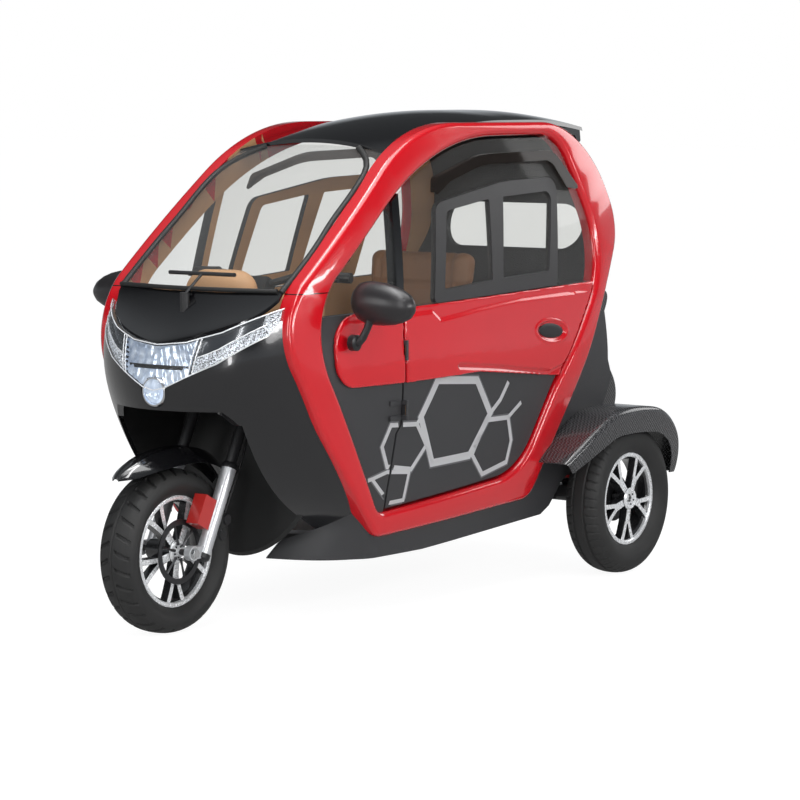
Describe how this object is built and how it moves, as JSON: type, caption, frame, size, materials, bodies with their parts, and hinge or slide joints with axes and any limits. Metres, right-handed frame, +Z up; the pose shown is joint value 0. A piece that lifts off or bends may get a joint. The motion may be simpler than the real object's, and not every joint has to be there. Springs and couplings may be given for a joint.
{
  "type": "enclosed electric three-wheeled scooter",
  "caption": "Enclosed-cabin electric scooter on three wheels, with hinged glazed side doors, a raked steered front fork, a driven rear axle and seats.",
  "frame": {"origin": "middle of the footprint box, on the ground under the tyres", "axes": "+X forward, +Y to the left-hand side, +Z up"},
  "size_m": [2.291, 1.24, 1.5201],
  "materials": {
    "gloss_red": "high-gloss painted moulding",
    "gloss_black": "high-gloss black moulding",
    "charcoal": "satin charcoal moulding",
    "textured_grey": "grained dark grey moulding",
    "weave_grey": "lacquered woven-fibre look",
    "floor_grey": "ribbed grey moulding",
    "window_grey": "anodised grey window frame",
    "clear_glass": "clear glazing",
    "smoked_glass": "smoked acrylic",
    "lamp_clear": "clear lamp lens",
    "lamp_red": "red lamp lens",
    "tan_trim": "tan interior moulding",
    "seat_leather": "tan sewn seat cover",
    "frame_black": "black painted steel",
    "battery_grey": "battery case",
    "spring_red": "painted coil spring",
    "fork_silver": "satin silver fork leg",
    "caliper_red": "red painted caliper",
    "rubber_black": "black rubber and moulding",
    "tyre": "road tyre",
    "wheel_alloy": "machined black cast alloy"
  },
  "bodies": {
    "body": {"chassis_frame": "frame_black", "floor_pan": "floor_grey", "wheel_housing": "charcoal", "nose_cowl": "gloss_black", "hood_panel": "gloss_black", "headlamps": "lamp_clear", "dashboard": "tan_trim", "side_hoops": "gloss_red", "roof_panel": "gloss_black", "windscreen": "clear_glass", "wiper": "rubber_black", "rear_body": "textured_grey", "roof_spoiler": "gloss_black", "tail_lamps": "lamp_red", "side_skirts": "charcoal", "corner_panels": "charcoal", "front_side_panels": "charcoal", "mirror_pods": "gloss_red", "door_posts": "gloss_black", "fixed_windows": "clear_glass", "mirrors": "gloss_black", "seat_base": "floor_grey", "battery_pack": "battery_grey", "driver_seat": "seat_leather", "driver_backrest": "seat_leather", "bench_seat": "seat_leather", "bench_backrest": "seat_leather", "rear_axle": "frame_black", "rear_springs": "spring_red", "rear_fenders": "weave_grey"},
    "steering": {"fork": "fork_silver", "brake_caliper": "caliper_red", "handlebar": "rubber_black", "front_fender": "gloss_black"},
    "front_wheel": {"front_tyre": "tyre", "front_rim": "wheel_alloy"},
    "rear_left_wheel": {"rear_left_tyre": "tyre", "rear_left_rim": "wheel_alloy"},
    "rear_right_wheel": {"rear_right_tyre": "tyre", "rear_right_rim": "wheel_alloy"},
    "door_left": {"door_left_panel": "charcoal", "door_left_belt": "gloss_red", "door_left_glass": "clear_glass", "door_left_window_frame": "window_grey", "door_left_visor": "smoked_glass"},
    "door_right": {"door_right_panel": "charcoal", "door_right_belt": "gloss_red", "door_right_glass": "clear_glass", "door_right_window_frame": "window_grey", "door_right_visor": "smoked_glass"}
  },
  "joints": [
    {"name": "steering_turn", "type": "hinge", "parent": "body", "child": "steering", "pos_m": [0.8465, 0, 0.243], "axis": [-0.454, 0, 0.891], "range_deg": [-38, 38]},
    {"name": "front_wheel_spin", "type": "hinge", "parent": "steering", "child": "front_wheel", "pos_m": [0.9035, 0, 0.243], "axis": [0, 1, 0], "continuous": true},
    {"name": "rear_left_wheel_spin", "type": "hinge", "parent": "body", "child": "rear_left_wheel", "pos_m": [-0.8165, 0.489, 0.247], "axis": [0, 1, 0], "continuous": true},
    {"name": "rear_right_wheel_spin", "type": "hinge", "parent": "body", "child": "rear_right_wheel", "pos_m": [-0.8165, -0.489, 0.247], "axis": [0, 1, 0], "continuous": true},
    {"name": "door_left_hinge", "type": "hinge", "parent": "body", "child": "door_left", "pos_m": [0.2915, 0.43062, 0.72], "axis": [0, 0, -1], "range_deg": [0, 65]},
    {"name": "door_right_hinge", "type": "hinge", "parent": "body", "child": "door_right", "pos_m": [0.2915, -0.43062, 0.72], "axis": [0, 0, 1], "range_deg": [0, 65]}
  ]
}
